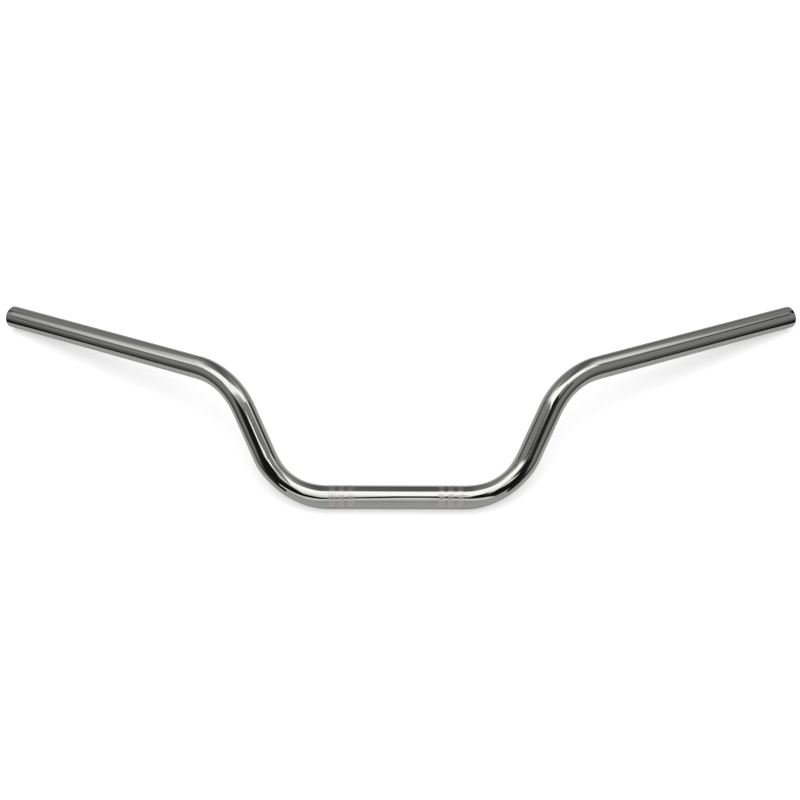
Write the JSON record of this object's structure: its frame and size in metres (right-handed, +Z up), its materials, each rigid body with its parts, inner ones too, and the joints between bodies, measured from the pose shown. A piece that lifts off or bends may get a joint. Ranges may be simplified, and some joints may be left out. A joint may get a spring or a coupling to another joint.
{
  "type": "motorcycle handlebar",
  "caption": "Chrome-plated bent steel tube handlebar for a motorcycle, with a knurled clamp length, risers and swept-back straight ends for grips and controls.",
  "frame": {"origin": "on the tube's axis, in the middle of the straight length that the risers of the fork bridge clamp", "axes": "+X along the clamped length, +Y from the clamp towards the ends of the grips, +Z up from the surface that the bar lies on"},
  "size_m": [0.8202, 0.2458, 0.0692],
  "materials": {
    "chrome_plate": "bright decorative chrome plating over a polished steel tube, frosted where it is knurled"
  },
  "bodies": {
    "root": {"handlebar_tube": "chrome_plate"}
  },
  "joints": []
}
